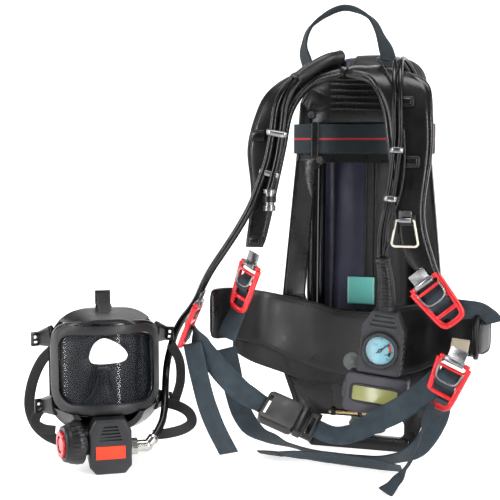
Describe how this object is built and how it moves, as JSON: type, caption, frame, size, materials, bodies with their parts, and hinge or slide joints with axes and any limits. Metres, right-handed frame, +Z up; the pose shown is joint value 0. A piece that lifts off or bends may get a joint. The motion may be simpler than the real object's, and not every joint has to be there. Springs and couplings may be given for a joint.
{
  "type": "air pack",
  "caption": "Breathing air pack: carrying frame with harness and covered cylinder, pressure console on hoses, adjusting rings, and a full-face mask on its own hose.",
  "frame": {"origin": "centre of the underside of the carrying frame's bottom bar, on the floor", "axes": "+Z up, +X to the right when facing the harness, -Y towards the wearer's side"},
  "size_m": [0.7632, 0.4846, 0.7135],
  "materials": {
    "frame_plastic": "matte",
    "steel": "satin",
    "brass": "satin",
    "navy_webbing": "satin",
    "cover_fabric": "satin",
    "cylinder": "satin",
    "grey_plastic": "matte",
    "rubber": "satin",
    "hose": "satin",
    "padding": "satin",
    "console_plastic": "matte",
    "button_plastic": "matte",
    "dial": "gloss",
    "needle": "satin",
    "clear": "satin",
    "lcd": "gloss",
    "red_plastic": "gloss",
    "orange_red": "gloss"
  },
  "bodies": {
    "pack": {"adjuster_brackets": "steel", "back_frame": "frame_plastic", "bail_holder": "frame_plastic", "buckle_female": "frame_plastic", "cam_buckle_base": "frame_plastic", "carry_handle": "navy_webbing", "console_body": "console_plastic", "console_boot": "rubber", "coupler_body": "steel", "cover_trim": "orange_red", "cylinder_band": "navy_webbing", "cylinder_cover": "cover_fabric", "cylinder_shell": "cylinder", "face_blank": "rubber", "frame_screws": "steel", "gauge_bezel": "console_plastic", "gauge_dial": "dial", "gauge_hoses": "hose", "gauge_lens": "clear", "head_buckles": "frame_plastic", "head_straps": "rubber", "hip_belt": "padding", "hose_clips": "steel", "hose_shroud": "rubber", "inlet_elbow": "steel", "lcd_window": "lcd", "ldv_body": "console_plastic", "ldv_cap": "rubber", "lens_frame": "frame_plastic", "loose_webbing": "navy_webbing", "lumbar_pad": "padding", "mask_hose": "hose", "mask_lens": "clear", "monitor_housing": "console_plastic", "nose_cup": "rubber", "reducer_body": "steel", "reducer_nut": "steel", "retaining_pin": "brass", "shoulder_hoses": "hose", "shoulder_pad_left": "padding", "shoulder_pad_right": "padding", "shoulder_straps": "navy_webbing", "valve_body": "steel", "valve_cover": "console_plastic", "valve_guard": "rubber", "waist_straps": "navy_webbing"},
    "handwheel": {"valve_handwheel": "grey_plastic"},
    "cam_lever": {"cam_lever": "frame_plastic"},
    "coupler_collar": {"coupler_collar": "steel"},
    "gauge_needle": {"gauge_needle": "needle"},
    "button_left": {"monitor_button_left": "button_plastic"},
    "button_right": {"monitor_button_right": "button_plastic"},
    "ring_shoulder_left": {"adjuster_shoulder_left": "red_plastic"},
    "ring_shoulder_right": {"adjuster_shoulder_right": "red_plastic"},
    "ring_waist_left": {"adjuster_waist_left": "red_plastic"},
    "ring_waist_right": {"adjuster_waist_right": "red_plastic"},
    "buckle_male": {"buckle_male": "frame_plastic"},
    "wire_bail": {"wire_bail": "steel"},
    "bypass_ring": {"bypass_ring": "red_plastic"},
    "reset_button": {"reset_button": "red_plastic"}
  },
  "joints": [
    {"name": "valve_turn", "type": "hinge", "parent": "pack", "child": "handwheel", "pos_m": [0, 0.028, 0.035], "axis": [0, -1, 0], "range_deg": [0, 720]},
    {"name": "cam_lever_hinge", "type": "hinge", "parent": "pack", "child": "cam_lever", "pos_m": [-0.026, 0.2042, 0.5035], "axis": [0, 0, 1], "range_deg": [0, 110]},
    {"name": "coupler_slide", "type": "slide", "parent": "pack", "child": "coupler_collar", "axis": [0, 0, -1], "range_m": [0, 0.004], "stiffness_N_per_m": 400},
    {"name": "needle_turn", "type": "hinge", "parent": "pack", "child": "gauge_needle", "pos_m": [0.05, -0.112, 0.19], "axis": [0, 1, 0], "range_deg": [-180, 87]},
    {"name": "button_left_press", "type": "slide", "parent": "pack", "child": "button_left", "axis": [0.9945, 0, -0.1045], "range_m": [0, 0.002], "stiffness_N_per_m": 600},
    {"name": "button_right_press", "type": "slide", "parent": "pack", "child": "button_right", "axis": [-0.9945, 0, 0.1045], "range_m": [0, 0.002], "stiffness_N_per_m": 600},
    {"name": "male_slide", "type": "slide", "parent": "pack", "child": "buckle_male", "axis": [0.9397, 0, -0.342], "range_m": [0, 0.03]},
    {"name": "bail_swing", "type": "hinge", "parent": "pack", "child": "wire_bail", "pos_m": [0.085, -0.137, 0.385], "axis": [1, 0, 0], "range_deg": [-80, 0]},
    {"name": "bypass_turn", "type": "hinge", "parent": "pack", "child": "bypass_ring", "pos_m": [-0.37829, -0.23073, 0.046], "axis": [-0.7547, -0.6561, 0], "range_deg": [0, 90]},
    {"name": "reset_press", "type": "slide", "parent": "pack", "child": "reset_button", "axis": [0.7547, 0.6561, 0], "range_m": [0, 0.004], "stiffness_N_per_m": 500},
    {"name": "ring_shoulder_left_swing", "type": "hinge", "parent": "pack", "child": "ring_shoulder_left", "pos_m": [-0.144, -0.15, 0.314], "axis": [0.7308, -0.6428, -0.2298], "range_deg": [-70, 0]},
    {"name": "ring_shoulder_right_swing", "type": "hinge", "parent": "pack", "child": "ring_shoulder_right", "pos_m": [0.114, -0.141, 0.295], "axis": [0.769, 0, 0.6392], "range_deg": [-70, 0]},
    {"name": "ring_waist_left_swing", "type": "hinge", "parent": "pack", "child": "ring_waist_left", "pos_m": [-0.219, -0.173, 0.256], "axis": [0.0962, -0.9945, -0.0408], "range_deg": [-55, 0]},
    {"name": "ring_waist_right_swing", "type": "hinge", "parent": "pack", "child": "ring_waist_right", "pos_m": [0.161, -0.15, 0.184], "axis": [0.9049, -0.2419, -0.3503], "range_deg": [-55, 0]}
  ]
}
